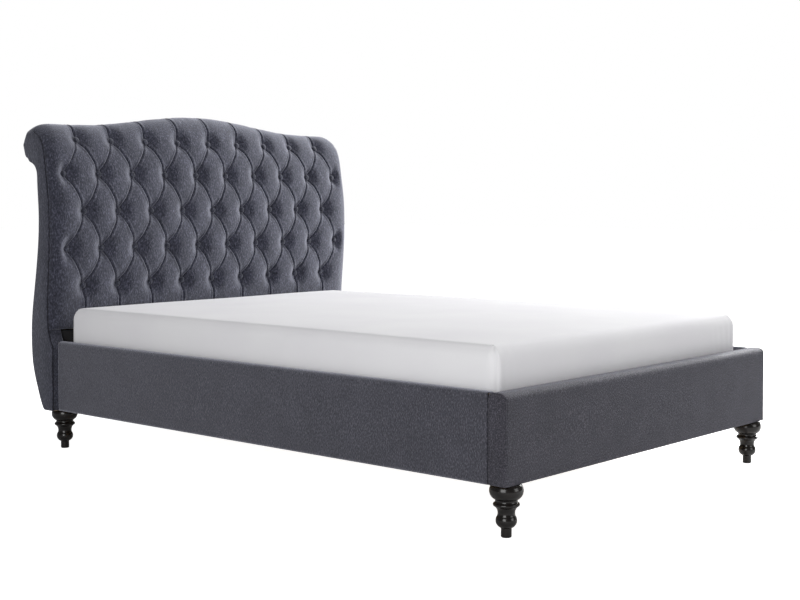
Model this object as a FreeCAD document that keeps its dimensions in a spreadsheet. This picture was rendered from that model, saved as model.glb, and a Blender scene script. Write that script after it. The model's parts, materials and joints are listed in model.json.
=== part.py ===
import FreeCAD, Part
import math
import os
import Sketcher

from FreeCAD import Rotation, Vector

# Upholstered sleigh bed: X runs across the bed, -Y is the foot, +Y the head and Z up.
# The origin is on the floor, under the middle of the whole bed. Lengths are millimetres.

doc = FreeCAD.newDocument("SleighBed")
sheet = doc.addObject("Spreadsheet::Sheet", "sheet")

driving_sizes = {
    # mattress, and the room round it
    "mattress_width": 1350,
    "mattress_length": 1900,
    "mattress_depth": 200,
    "mattress_corner": 46,
    "mattress_edge": 20,
    "mattress_sink": 81,
    "mattress_rail_gap": 3,
    "mattress_foot_gap": 1,
    "side_slack": 50,
    "end_slack": 22,
    # side rails and what they carry
    "rail_thickness": 30,
    "rail_height": 246,
    "rail_cover": 4,
    "rail_round": 9,
    "ledger_side": 30,
    "slat_width": 90,
    "slat_thickness": 18,
    "slat_end_gap": 4,
    "beam_width": 70,
    "beam_height": 44,
    # footboard
    "footboard_depth": 58,
    "footboard_padding": 8,
    "footboard_round": 18,
    "end_panel": 4,
    # headboard
    "headboard_overhang": 25,
    "post_width": 55,
    "gable_thickness": 22,
    "side_cover": 3,
    "pad_lift": 41,
    "padding_front": 32,
    "padding_roll": 21,
    "padding_round": 70,
    "front_inset": 8,
    "front_board": 6,
    "post_cover": 3,
    "back_cover": 4,
    "back_board": 6,
    "layer_gap": 0.5,
    "waist_front": 14.5,
    "waist_back": 75,
    "belly_back": 125,
    "roll_setback": 113,
    "roll_radius": 57,
    "roll_height": 1084,
    "camel_rise": 50,
    "camel_half_width": 580,
    "bottom_rail_depth": 42,
    "bottom_rail_height": 140,
    "mid_rail_height": 90,
    "mid_rail_gap": 2,
    "lower_panel": 6,
    "panel_setback": 30,
    "panel_gap": 6,
    # buttons
    "button_rows": 5,
    "button_columns": 9,
    "button_pitch": 152.5,
    "button_row_pitch": 134,
    "button_low_row": 440,
    "button_top_drop": 10,
    "button_seat": 12,
    "button_radius": 9.5,
    "button_rise": 6,
    "button_stem_radius": 1.5,
    # legs
    "leg_height": 143,
    "leg_inset": 50,
    "foot_leg_setback": 34,
    "head_leg_setback": 34,
    "leg_foot_radius": 14.5,
    "leg_bulb_radius": 28.5,
    "leg_waist_radius": 23.5,
    "leg_bead_radius": 36,
    "leg_neck_radius": 30,
    "leg_collar_radius": 46,
    "leg_top_radius": 39,
    "glide_thickness": 2,
    "stud_radius": 4,
    "stud_depth": 45,
    "stud_grip": 35,
    # centre legs
    "centre_leg_spread": 640,
    "centre_leg_radius": 19,
    "centre_flange_radius": 32,
    "flange_thickness": 5,
    "levelling_travel": 12,
    "levelling_pad_radius": 20,
    "levelling_pad_height": 8,
    "levelling_stem_radius": 5,
    "levelling_stem_length": 44,
    "running_gap": 0.3,
    # brackets and fasteners
    "bracket_side": 60,
    "bracket_height": 96,
    "plate_thickness": 3,
    "hanger_depth": 45,
    "hanger_ear": 25,
    "hanger_drop": 22,
    "bolt_radius": 4,
    "bolt_length": 24,
    "screw_radius": 2.5,
}
for row, (alias, number) in enumerate(driving_sizes.items(), start=1):
    sheet.set("A%d" % row, alias)
    sheet.set("B%d" % row, str(number))
    sheet.setAlias("B%d" % row, alias)
doc.recompute()


class Size:
    """A length together with the sheet expression that gives it."""

    def __init__(self, number, text):
        self.number = number
        self.text = text

    def __add__(self, other):
        other = as_size(other)
        return Size(self.number + other.number, "(%s + %s)" % (self.text, other.text))

    def __sub__(self, other):
        other = as_size(other)
        return Size(self.number - other.number, "(%s - %s)" % (self.text, other.text))

    def __mul__(self, factor):
        return Size(self.number * factor, "(%s * %s)" % (self.text, factor))

    def __truediv__(self, divisor):
        return Size(self.number / divisor, "(%s / %s)" % (self.text, divisor))

    def __radd__(self, other):
        return as_size(other) + self

    def __rsub__(self, other):
        return as_size(other) - self

    def __rmul__(self, factor):
        return self * factor

    def __neg__(self):
        return self * -1

    def __float__(self):
        return float(self.number)


def as_size(value):
    return value if isinstance(value, Size) else Size(value, str(value))


def larger(first, second):
    first, second = as_size(first), as_size(second)
    return Size(max(first.number, second.number), "max(%s; %s)" % (first.text, second.text))


class Sizes:
    """The sheet's cells, one attribute for each alias."""


at = Sizes()
for alias in driving_sizes:
    setattr(at, alias, Size(float(sheet.get(alias)), "sheet." + alias))

# ---- widths, lengths and levels that follow from the driving sizes
inner_width = at.mattress_width + at.side_slack
frame_width = inner_width + 2 * at.rail_thickness
rail_length = at.mattress_length + at.end_slack
headboard_half = frame_width / 2 + at.headboard_overhang
post_inner = headboard_half - at.post_width
gable_outer = headboard_half - at.side_cover
gable_inner = gable_outer - at.gable_thickness

collar_overhang = larger(0, at.leg_collar_radius - at.foot_leg_setback)
roll_depth = at.roll_setback + at.roll_radius + at.padding_roll
bed_length = collar_overhang + at.footboard_depth + rail_length + roll_depth
foot_face = collar_overhang - bed_length / 2
rail_start = foot_face + at.footboard_depth
head_face = rail_start + rail_length

rail_top = at.leg_height + at.rail_height
slat_top = rail_top - at.mattress_sink
slat_bottom = slat_top - at.slat_thickness
ledger_bottom = slat_bottom - at.ledger_side
beam_bottom = slat_bottom - at.beam_height
pad_bottom = rail_top + at.pad_lift

nodes = {}


def keep(label, feature):
    """Names a finished piece; its label is also its file's name."""
    feature.Label = label
    nodes[label] = feature
    return feature


def bind(feature, **sizes):
    for name, size in sizes.items():
        feature.setExpression(name, as_size(size).text)


def place(feature, x, y, z):
    for axis, size in zip("xyz", (x, y, z)):
        feature.setExpression("Placement.Base." + axis, as_size(size).text)


def board(label, low, extent):
    """A plain rectangular board, from its lowest corner and its three sides."""
    piece = doc.addObject("Part::Box", label)
    bind(piece, Length=extent[0], Width=extent[1], Height=extent[2])
    place(piece, *low)
    return keep(label, piece)


def origin_plane(body, role):
    return [item for item in body.Origin.OriginFeatures if item.Role == role][0]


def pin(sketch, geometry, end, point):
    """Fixes one end of a sketch line or arc at a point given by two sizes."""
    for kind, size in zip(("DistanceX", "DistanceY"), point):
        size = as_size(size)
        constraint = Sketcher.Constraint(kind, -1, 1, geometry, end, float(size))
        index = sketch.addConstraint(constraint)
        sketch.setExpression("Constraints[%d]" % index, size.text)


def flat(point):
    return Vector(float(as_size(point[0])), float(as_size(point[1])), 0)


def outline(body, role, start, steps):
    """A closed sketch outline. A step is a point to draw a line to, or two points: one that an
    arc passes through and the one where it ends."""
    sketch = body.newObject("Sketcher::SketchObject", body.Label + "_outline")
    sketch.AttachmentSupport = [(origin_plane(body, role), "")]
    sketch.MapMode = "FlatFace"
    here = start
    for step in steps:
        if isinstance(step[0], tuple):
            middle, end = step
            arc = Part.Arc(flat(here), flat(middle), flat(end))
            index = sketch.addGeometry(arc, False)
            first = 1 if (sketch.getPoint(index, 1) - flat(here)).Length < 1e-4 else 2
            pin(sketch, index, first, here)
            pin(sketch, index, 3 - first, end)
            guide = sketch.addGeometry(Part.Point(flat(middle)), True)
            pin(sketch, guide, 1, middle)
            sketch.addConstraint(Sketcher.Constraint("PointOnObject", guide, 1, index))
            here = end
        else:
            index = sketch.addGeometry(Part.LineSegment(flat(here), flat(step)), False)
            pin(sketch, index, 1, here)
            pin(sketch, index, 2, step)
            here = step
    return sketch


def new_body(label):
    body = doc.addObject("PartDesign::Body", label)
    body.Label = label
    return body


def bar(label, role, start, steps, length, middle):
    """An outline padded equally to both sides of its plane, then moved to its middle."""
    body = new_body(label)
    sketch = outline(body, role, start, steps)
    pad = body.newObject("PartDesign::Pad", label + "_pad")
    pad.Profile = sketch
    pad.SideType = "Symmetric"
    bind(pad, Length=length)
    place(body, *middle)
    return keep(label, body)


def turned(label, start, steps, middle):
    """An outline of radius and height, turned round the vertical axis."""
    body = new_body(label)
    sketch = outline(body, "XZ_Plane", start, steps)
    turn = body.newObject("PartDesign::Revolution", label + "_turn")
    turn.Profile = sketch
    turn.ReferenceAxis = (sketch, ["V_Axis"])
    turn.Angle = 360
    place(body, *middle)
    return keep(label, body)


def solid_group(label, solids):
    """Identical fasteners, kept as one group of separate solids."""
    piece = doc.addObject("Part::Feature", label)
    piece.Shape = Part.makeCompound(solids)
    return keep(label, piece)


def corner_arc(centre, radius, left, upper):
    """The middle of a quarter-round corner: left or right of its centre, above or below it."""
    reach = radius * math.sqrt(0.5)
    across = centre[0] - reach if left else centre[0] + reach
    return (across, centre[1] + reach if upper else centre[1] - reach)


sides = (("left", -1), ("right", 1))

# ---- side rails, each a board in a padded cover, with a ledger for the slats
rail_middle = frame_width / 2 - at.rail_thickness / 2
rail_half = at.rail_thickness / 2
core_half = rail_half - at.rail_cover
for name, side in sides:
    low_x = side * rail_middle - core_half
    board(
        "side_rail_board_" + name,
        (low_x, rail_start, at.leg_height),
        (2 * core_half, rail_length, at.rail_height - at.rail_cover),
    )
    round_low = at.rail_height - at.rail_round
    round_in = rail_half - at.rail_round
    bar(
        "side_rail_cover_" + name,
        "XZ_Plane",
        (-rail_half, 0),
        [
            (-rail_half, round_low),
            (
                corner_arc((-round_in, round_low), at.rail_round, True, True),
                (-round_in, at.rail_height),
            ),
            (round_in, at.rail_height),
            (
                corner_arc((round_in, round_low), at.rail_round, False, True),
                (rail_half, round_low),
            ),
            (rail_half, 0),
            (core_half, 0),
            (core_half, at.rail_height - at.rail_cover),
            (-core_half, at.rail_height - at.rail_cover),
            (-core_half, 0),
            (-rail_half, 0),
        ],
        rail_length,
        (side * rail_middle, rail_start + rail_length / 2, at.leg_height),
    )
    ledger_x = side * inner_width / 2 - (at.ledger_side if side > 0 else 0)
    board(
        "slat_ledger_" + name,
        (ledger_x, rail_start, ledger_bottom),
        (at.ledger_side, rail_length, at.ledger_side),
    )

# ---- footboard: a board in a padded cover, closed by a fabric panel at each end
foot_width = frame_width - 2 * at.end_panel
foot_half = at.footboard_depth / 2
foot_core = foot_half - at.footboard_padding
foot_round_low = at.rail_height - at.footboard_round
foot_round_in = foot_half - at.footboard_round
foot_middle = foot_face + foot_half
board(
    "footboard_board",
    (-foot_width / 2, foot_middle - foot_core, at.leg_height),
    (foot_width, 2 * foot_core, at.rail_height - at.footboard_padding),
)
foot_outside = [
    (-foot_half, foot_round_low),
    (
        corner_arc((-foot_round_in, foot_round_low), at.footboard_round, True, True),
        (-foot_round_in, at.rail_height),
    ),
    (foot_round_in, at.rail_height),
    (
        corner_arc((foot_round_in, foot_round_low), at.footboard_round, False, True),
        (foot_half, foot_round_low),
    ),
    (foot_half, 0),
]
bar(
    "footboard_cover",
    "YZ_Plane",
    (-foot_half, 0),
    foot_outside
    + [
        (foot_core, 0),
        (foot_core, at.rail_height - at.footboard_padding),
        (-foot_core, at.rail_height - at.footboard_padding),
        (-foot_core, 0),
        (-foot_half, 0),
    ],
    foot_width,
    (0, foot_middle, at.leg_height),
)
for name, side in sides:
    bar(
        "footboard_end_panel_" + name,
        "YZ_Plane",
        (-foot_half, 0),
        foot_outside + [(-foot_half, 0)],
        at.end_panel,
        (side * (foot_width / 2 + at.end_panel / 2), foot_middle, at.leg_height),
    )

# ---- mattress, with rounded corners and a softened top and bottom edge
half_wide = at.mattress_width / 2
half_long = at.mattress_length / 2
arc_wide = half_wide - at.mattress_corner
arc_long = half_long - at.mattress_corner
mattress = new_body("mattress")
mattress_sketch = outline(
    mattress,
    "XY_Plane",
    (-arc_wide, -half_long),
    [
        (arc_wide, -half_long),
        (
            corner_arc((arc_wide, -arc_long), at.mattress_corner, False, False),
            (half_wide, -arc_long),
        ),
        (half_wide, arc_long),
        (
            corner_arc((arc_wide, arc_long), at.mattress_corner, False, True),
            (arc_wide, half_long),
        ),
        (-arc_wide, half_long),
        (
            corner_arc((-arc_wide, arc_long), at.mattress_corner, True, True),
            (-half_wide, arc_long),
        ),
        (-half_wide, -arc_long),
        (
            corner_arc((-arc_wide, -arc_long), at.mattress_corner, True, False),
            (-arc_wide, -half_long),
        ),
    ],
)
mattress_pad = mattress.newObject("PartDesign::Pad", "mattress_pad")
mattress_pad.Profile = mattress_sketch
bind(mattress_pad, Length=at.mattress_depth)
doc.recompute()
level_edges = [
    "Edge%d" % number
    for number, edge in enumerate(mattress_pad.Shape.Edges, start=1)
    if edge.BoundBox.ZLength < 1
]
mattress_edge = mattress.newObject("PartDesign::Fillet", "mattress_edge")
mattress_edge.Base = (mattress_pad, level_edges)
bind(mattress_edge, Radius=at.mattress_edge)
place(
    mattress,
    at.mattress_rail_gap - at.side_slack / 2,
    rail_start + at.mattress_foot_gap + half_long,
    slat_top,
)
keep("mattress", mattress)

# ---- slats, spread evenly along the rails, and the beam under their middles
slat_count = 12
slat_step = rail_length / slat_count
slat_length = inner_width - 2 * at.slat_end_gap
for number in range(slat_count):
    board(
        "slat_%02d" % (number + 1),
        (
            -slat_length / 2,
            rail_start + slat_step * (number + 0.5) - at.slat_width / 2,
            slat_bottom,
        ),
        (slat_length, at.slat_width, at.slat_thickness),
    )
board(
    "centre_beam",
    (-at.beam_width / 2, rail_start + at.plate_thickness, beam_bottom),
    (at.beam_width, rail_length - 2 * at.plate_thickness, at.beam_height),
)

# ---- hangers: a cradle under each end of the beam, on a plate against the headboard or footboard
cradle_length = float(at.hanger_depth)
ear = float(at.hanger_ear)
drop = float(at.hanger_drop)
cradle_half = float(at.beam_width) / 2 + float(at.running_gap)
plate = float(at.plate_thickness)
beam_low = float(beam_bottom) - float(at.running_gap)
hangers = []
for end in (-1, 1):
    face = float(rail_start) if end < 0 else float(head_face)
    inward = min(face, face - end * cradle_length)
    outer = Part.makeBox(
        2 * (cradle_half + plate),
        cradle_length,
        float(at.beam_height) - plate,
        Vector(-cradle_half - plate, inward, beam_low - plate),
    )
    room = Part.makeBox(
        2 * cradle_half,
        cradle_length,
        float(at.beam_height),
        Vector(-cradle_half, inward, beam_low),
    )
    back = Part.makeBox(
        2 * (cradle_half + plate + ear),
        plate,
        float(at.beam_height) - plate + drop,
        Vector(-cradle_half - plate - ear, min(face, face - end * plate), beam_low - plate - drop),
    )
    hangers.append(outer.cut(room).fuse(back).removeSplitter())
solid_group("beam_hangers", hangers)


# ---- headboard profile, as depth behind the posts' front face, and height
#
# The outline runs up the front, over the scroll and down the back. Each point carries how much
# of the front's padding and of the roll's padding lies on it.
level = float(at.leg_height)
post_top = float(rail_top) - 28
pad_low = float(pad_bottom)
roll_y = float(at.roll_setback)
roll_z = float(at.roll_height)
roll = float(at.roll_radius)
waist = float(at.waist_front)
waist_share = 0.52
front_span = roll_z - pad_low
back_span = roll_z - level


def on_roll(degrees):
    angle = math.radians(degrees)
    return (roll_y + roll * math.cos(angle), roll_z + roll * math.sin(angle))


front_points = [
    ((0, post_top), 0, 0),
    ((12, float(rail_top) + 3), 0.3, 0),
    ((24, pad_low), 0.7, 0),
    ((28, pad_low + 0.17 * front_span), 0.92, 0),
    ((waist + 5, pad_low + 0.35 * front_span), 1, 0),
    ((waist, pad_low + waist_share * front_span), 1, 0),
    ((waist + 4.5, pad_low + 0.72 * front_span), 1, 0),
    ((waist + 21.5, pad_low + 0.9 * front_span), 0.96, 0),
]
roll_points = [(on_roll(150), 0.3, 0.7)] + [
    (on_roll(angle), 0, 1) for angle in (120, 90, 60, 30, 0, -30)
]
throat_points = [
    (on_roll(-65), 0, 0.6),
    ((roll_y - 3, roll_z - roll - 5), 0, 0.25),
    ((roll_y - 25, roll_z - roll - 27), 0, 0.1),
]
belly = float(at.belly_back)
back_waist = float(at.waist_back)
back_points = [
    ((back_waist + 7, roll_z - roll - 66), 0, 0),
    ((back_waist, level + 0.751 * back_span), 0, 0),
    ((back_waist + 9, level + 0.595 * back_span), 0, 0),
    ((belly - 20, level + 0.458 * back_span), 0, 0),
    ((belly - 1, level + 0.319 * back_span), 0, 0),
    ((belly - 1, level + 0.227 * back_span), 0, 0),
    ((belly - 16, level + 0.133 * back_span), 0, 0),
    ((belly - 46, level + 0.049 * back_span), 0, 0),
    ((belly - 72, level), 0, 0),
]
profile_points = front_points + roll_points + throat_points + back_points
pad_first = 2
board_last = len(front_points) - 1
pad_last = len(front_points) + len(roll_points) + len(throat_points) - 1
last = len(profile_points) - 1

profile = Part.BSplineCurve()
profile.interpolate(
    Points=[Vector(0, y, z) for (y, z), front_share, roll_share in profile_points],
    InitialTangent=Vector(0, 0, 1),
    FinalTangent=Vector(0, -0.5, -0.87),
)
stops = [profile.parameter(Vector(0, y, z)) for (y, z), front_share, roll_share in profile_points]


def stop_at(position):
    """The curve's parameter at a position counted in points, such as 7.5 between two of them."""
    index = min(int(position), last - 1)
    return stops[index] + (stops[index + 1] - stops[index]) * (position - index)


def smooth(share):
    share = min(1.0, max(0.0, share))
    return share * share * (3 - 2 * share)


def camel(x):
    """How far the top stands up over the sides, at a place across the headboard."""
    half = float(at.camel_half_width)
    return float(at.camel_rise) * math.cos(math.pi * x / (2 * half)) ** 2 if abs(x) < half else 0.0


def share_of_rise(z):
    return smooth((z - roll_z + 224) / 170)


def layer_point(position, inset, x):
    """A point of a layer this far inside the outline, or outside it where inset is negative."""
    stop = stop_at(position)
    point = profile.value(stop)
    along = profile.tangent(stop)[0]
    y = point.y + inset * along.z
    z = point.z - inset * along.y + camel(x) * share_of_rise(point.z)
    return Vector(x, float(head_face) + y, z)


def curve(points):
    spline = Part.BSplineCurve()
    spline.interpolate(points)
    return spline.toShape()


def section(x, positions, outer, inner):
    """The closed wire of a layer between two insets, each given for a position, at one x."""
    outside = [layer_point(p, outer(p, x), x) for p in positions]
    inside = [layer_point(p, inner(p, x), x) for p in reversed(positions)]
    edges = [
        curve(outside),
        Part.makeLine(outside[-1], inside[0]),
        curve(inside),
        Part.makeLine(inside[-1], outside[0]),
    ]
    return Part.Wire(edges)


def from_edge(x):
    """0 at the headboard's end, rising to 1 where the padding is full."""
    gone = 1 - min(1.0, (float(gable_outer) - abs(x)) / float(at.padding_round))
    return math.sqrt(1 - gone * gone)


pad_half = float(gable_outer)
edge_round = float(at.padding_round)
camel_half = float(at.camel_half_width)
half_stations = [0, 0.25 * camel_half, 0.5 * camel_half, 0.75 * camel_half, camel_half] + [
    pad_half - edge_round * share for share in (1, 0.55, 0.25, 0.08, 0)
]
stations = sorted({-x for x in half_stations} | set(half_stations))


def lofted(label, positions, outer, inner, across=stations):
    wires = [section(x, positions, outer, inner) for x in across]
    piece = doc.addObject("Part::Feature", label)
    piece.Shape = Part.makeLoft(wires, True, True)
    return keep(label, piece)


def counted(first, final):
    """Positions from first to final, with both ends kept and a stop at each half between."""
    halves = [half / 2 for half in range(2 * int(first), 2 * int(final) + 2)]
    return [first] + [p for p in halves if first + 0.05 < p < final - 0.05] + [final]


gap = float(at.layer_gap)
front_inset = float(at.front_inset)
board_inset = front_inset + gap
board_back = board_inset + float(at.front_board)
skin = float(at.back_cover)
back_inset = skin + gap
back_deep = back_inset + float(at.back_board)


def padding(position, x):
    index = min(int(position), last - 1)
    part = position - index
    amount = 0.0
    for weight, (point, front_share, roll_share) in zip(
        (1 - part, part), profile_points[index : index + 2]
    ):
        full = front_share * float(at.padding_front) + roll_share * float(at.padding_roll)
        amount += weight * full
    return -amount * from_edge(x)


lofted("headboard_pad", counted(pad_first, pad_last), padding, lambda p, x: front_inset)
lofted(
    "headboard_front_board",
    counted(pad_first + 0.1, board_last - 0.3),
    lambda p, x: board_inset,
    lambda p, x: board_back,
)
lofted(
    "headboard_back_cover",
    counted(pad_last + 0.05, last),
    lambda p, x: 0.0,
    lambda p, x: skin,
)
lofted(
    "headboard_back_board",
    counted(pad_last + 0.1, last - 0.1),
    lambda p, x: back_inset,
    lambda p, x: back_deep,
)

# ---- scroll former: the arched round core between the gables
former_half = float(gable_inner) - gap
former_radius = roll - front_inset - gap
former_stations = sorted({max(-former_half, min(former_half, x)) for x in stations})
former_rings = [
    Part.Wire(
        Part.makeCircle(
            former_radius,
            Vector(x, float(head_face) + roll_y, roll_z + camel(x)),
            Vector(1, 0, 0),
        )
    )
    for x in former_stations
]
former = doc.addObject("Part::Feature", "scroll_former")
former.Shape = Part.makeLoft(former_rings, True, True)
keep("scroll_former", former)

# ---- gables, stiles, side covers and post covers, cut to the same profile
cover_inset = float(at.post_cover) + gap
deep_front = board_back + 2 * gap
deep_back = back_deep + 3 * gap
post_run = [0, 0.06, 0.15, 0.3, 0.6, 1, 1.4, 1.8]


def floor_point(inset, x):
    return Vector(x, float(head_face) + inset, level)


def slab(label, edges, x, thickness):
    piece = doc.addObject("Part::Feature", label)
    face = Part.Face(Part.Wire(edges))
    piece.Shape = face.extrude(Vector(thickness, 0, 0))
    return keep(label, piece)


def chain(corners_and_curves):
    """Edges through a list of curves, each a list of points, joined by straight lines."""
    edges = []
    end = None
    for points in corners_and_curves:
        if end is not None:
            edges.append(Part.makeLine(end, points[0]))
        if len(points) > 1:
            edges.append(curve(points))
        end = points[-1]
    edges.append(Part.makeLine(end, corners_and_curves[0][0]))
    return edges


def inset_run(positions, inset, x):
    return [layer_point(p, inset, x) for p in positions]


def gable_edges(x, front_top, back_top):
    """The outline of a gable, or of a stile where it stops at front_top and back_top."""
    run = [[floor_point(cover_inset, x)], inset_run(post_run, cover_inset, x)]
    if front_top is None:
        roll_inset = front_inset + gap
        whole = inset_run(counted(pad_first + 0.05, board_last), deep_front, x)
        whole += inset_run(counted(board_last + 1, pad_last - 2), roll_inset, x)
        whole += inset_run([pad_last - 1] + counted(pad_last + 0.1, last), deep_back, x)
        run.append(whole)
    else:
        run.append(inset_run(counted(pad_first + 0.05, front_top), deep_front, x))
        run.append(inset_run(counted(back_top, last), deep_back, x))
    foot = run[-1][-1]
    run.append([Vector(x, foot.y, level)])
    return chain(run)


stile_front = len(front_points) - 2
stile_back = pad_last + 2
for name, side in sides:
    gable_x = float(gable_inner) if side > 0 else -float(gable_outer)
    slab(
        "headboard_gable_" + name,
        gable_edges(gable_x, None, None),
        gable_x,
        float(at.gable_thickness),
    )
    stile_x = float(post_inner) if side > 0 else -float(gable_inner)
    slab(
        "headboard_stile_" + name,
        gable_edges(stile_x, stile_front, stile_back),
        stile_x,
        float(gable_inner) - float(post_inner),
    )
    cover_x = float(gable_outer) if side > 0 else -float(headboard_half)
    slab(
        "headboard_side_cover_" + name,
        chain([[floor_point(0, cover_x)], inset_run(counted(0, last), 0, cover_x)]),
        cover_x,
        float(at.side_cover),
    )
    post_x = float(post_inner) if side > 0 else -float(gable_outer)
    slab(
        "headboard_post_cover_" + name,
        chain(
            [
                [floor_point(0, post_x)],
                inset_run(post_run, 0, post_x),
                inset_run(post_run[::-1], float(at.post_cover), post_x),
                [floor_point(float(at.post_cover), post_x)],
            ]
        ),
        post_x,
        float(gable_outer) - float(post_inner),
    )

# ---- straight members of the headboard, between the stiles
board(
    "headboard_bottom_rail",
    (-post_inner, head_face, at.leg_height),
    (2 * post_inner, at.bottom_rail_depth, at.bottom_rail_height),
)
mid_front = at.waist_front + at.front_inset + at.front_board + at.mid_rail_gap
mid_back = at.waist_back - at.back_cover - at.back_board - at.mid_rail_gap
mid_level = pad_bottom + (at.roll_height - pad_bottom) * waist_share - at.mid_rail_height / 2
board(
    "headboard_mid_rail",
    (-post_inner, head_face + mid_front, mid_level),
    (2 * post_inner, mid_back - mid_front, at.mid_rail_height),
)
panel_bottom = at.leg_height + at.bottom_rail_height
board(
    "headboard_lower_panel",
    (-post_inner, head_face + at.panel_setback, panel_bottom),
    (2 * post_inner, at.lower_panel, pad_bottom - at.panel_gap - panel_bottom),
)

# ---- tufting buttons: a domed cap on a stem that runs through the pad into the frame
cap_radius = float(at.button_radius)
cap_rise = float(at.button_rise)
dome_radius = (cap_radius**2 + cap_rise**2) / (2 * cap_rise)
dome = Part.makeSphere(dome_radius, Vector(0, 0, cap_rise - dome_radius))
cap = dome.common(Part.makeCylinder(cap_radius, cap_rise + 1))
stem_length = float(at.button_seat) + board_inset + float(at.front_board) / 2
stem = Part.makeCylinder(
    float(at.button_stem_radius), stem_length + 1, Vector(0, 0, -stem_length)
)
button = cap.fuse(stem).removeSplitter()


def height_stop(x, z):
    """The curve's parameter where the front reaches a height, the camel's back included."""
    low, high = stop_at(pad_first), stop_at(board_last + 2)
    for _ in range(40):
        middle = (low + high) / 2
        there = profile.value(middle).z
        if there + camel(x) * share_of_rise(there) < z:
            low = middle
        else:
            high = middle
    return low


buttons = []
rows = int(float(at.button_rows))
for row in range(rows):
    in_row = int(float(at.button_columns)) + row % 2
    z = level + float(at.button_low_row) + row * float(at.button_row_pitch)
    z -= float(at.button_top_drop) if row == rows - 1 else 0
    for column in range(in_row):
        x = (column - (in_row - 1) / 2) * float(at.button_pitch)
        stop = height_stop(x, z)
        point = profile.value(stop)
        along = profile.tangent(stop)[0]
        outward = Vector(0, -along.z, along.y)
        seat = Vector(x, float(head_face) + point.y, z) + outward * float(at.button_seat)
        piece = button.copy()
        piece.Placement = FreeCAD.Placement(seat, Rotation(Vector(0, 0, 1), outward))
        buttons.append(piece)
solid_group("tuft_buttons", buttons)

# ---- turned legs, each on a glide and hung from a stud
leg_x = frame_width / 2 - at.leg_inset
foot_leg_y = foot_face + at.foot_leg_setback
head_leg_y = head_face + at.head_leg_setback
leg_places = [
    ("leg_foot_left", -leg_x, foot_leg_y),
    ("leg_foot_right", leg_x, foot_leg_y),
    ("leg_head_left", -leg_x, head_leg_y),
    ("leg_head_right", leg_x, head_leg_y),
]
bore = at.stud_radius + at.running_gap
bore_bottom = at.leg_height - at.stud_depth
leg_steps = [
    (at.leg_foot_radius, at.glide_thickness),
    (at.leg_foot_radius, at.leg_height * 0.175),
    (
        (at.leg_bulb_radius, at.leg_height * 0.29),
        (at.leg_waist_radius + 1.3, at.leg_height * 0.4),
    ),
    (
        (at.leg_waist_radius, at.leg_height * 0.475),
        (at.leg_bead_radius - 4, at.leg_height * 0.58),
    ),
    (
        (at.leg_bead_radius, at.leg_height * 0.61),
        (at.leg_bead_radius - 4, at.leg_height * 0.65),
    ),
    (
        (at.leg_neck_radius, at.leg_height * 0.68),
        (at.leg_neck_radius + 0.5, at.leg_height * 0.705),
    ),
    (
        (at.leg_collar_radius, at.leg_height * 0.874),
        (at.leg_top_radius, at.leg_height),
    ),
    (bore, at.leg_height),
    (bore, bore_bottom),
    (0, bore_bottom),
    (0, at.glide_thickness),
]
studs = []
glides = []
stud_radius = float(at.stud_radius)
for name, x, y in leg_places:
    turned(name, (0, at.glide_thickness), leg_steps, (x, y, 0))
    glides.append(
        Part.makeCylinder(
            float(at.leg_foot_radius) - 1.5,
            float(at.glide_thickness),
            Vector(float(x), float(y), 0),
        )
    )
    studs.append(
        Part.makeCylinder(
            stud_radius,
            float(at.stud_depth) - 1 + float(at.stud_grip),
            Vector(float(x), float(y), float(bore_bottom) + 1),
        )
    )
solid_group("leg_studs", studs)
solid_group("leg_glides", glides)

# ---- centre legs under the beam, and the levelling foot that screws into each
stem_bore = at.levelling_stem_radius + at.running_gap
sleeve_bottom = at.levelling_pad_height + at.levelling_travel + 1
bore_depth = at.levelling_stem_length + 2
for name, end in (("front", -1), ("rear", 1)):
    middle_y = rail_start + rail_length / 2 + end * at.centre_leg_spread / 2
    turned(
        "centre_leg_" + name,
        (stem_bore, sleeve_bottom),
        [
            (at.centre_leg_radius - 2, sleeve_bottom),
            (at.centre_leg_radius, sleeve_bottom + 2),
            (at.centre_leg_radius, beam_bottom - at.flange_thickness),
            (at.centre_flange_radius, beam_bottom - at.flange_thickness),
            (at.centre_flange_radius, beam_bottom),
            (0, beam_bottom),
            (0, sleeve_bottom + bore_depth),
            (stem_bore, sleeve_bottom + bore_depth),
            (stem_bore, sleeve_bottom),
        ],
        (0, middle_y, 0),
    )
    stem_top = at.levelling_pad_height + at.levelling_stem_length
    turned(
        "levelling_foot_" + name,
        (0, 0),
        [
            (at.levelling_pad_radius, 0),
            (at.levelling_pad_radius, at.levelling_pad_height / 2),
            (at.levelling_stem_radius + 4, at.levelling_pad_height),
            (at.levelling_stem_radius, at.levelling_pad_height),
            (at.levelling_stem_radius, stem_top),
            (0, stem_top),
            (0, 0),
        ],
        (0, middle_y, 0),
    )

# ---- steel angles in the four corners, with the bolts through them
bracket_bottom = at.leg_height + 12
hole = at.bolt_radius + at.running_gap
bolt_levels = (at.bracket_height / 4, at.bracket_height * 0.75)
bolt_along = at.bracket_side * 0.6
head_radius = float(at.bolt_radius) * 1.7
head_depth = float(at.bolt_radius) * 1.3
bolt = Part.makeCylinder(float(at.bolt_radius), float(at.bolt_length))
hexagon = Part.makePolygon(
    [
        Vector(head_radius * math.cos(turn), head_radius * math.sin(turn), 0)
        for turn in (math.pi / 3 * corner for corner in range(7))
    ]
)
bolt = bolt.fuse(Part.Face(hexagon).extrude(Vector(0, 0, -head_depth))).removeSplitter()


def placed(shape, x, y, z, direction):
    piece = shape.copy()
    turn = Rotation(Vector(0, 0, 1), direction)
    piece.Placement = FreeCAD.Placement(Vector(float(x), float(y), float(z)), turn)
    return piece


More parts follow.
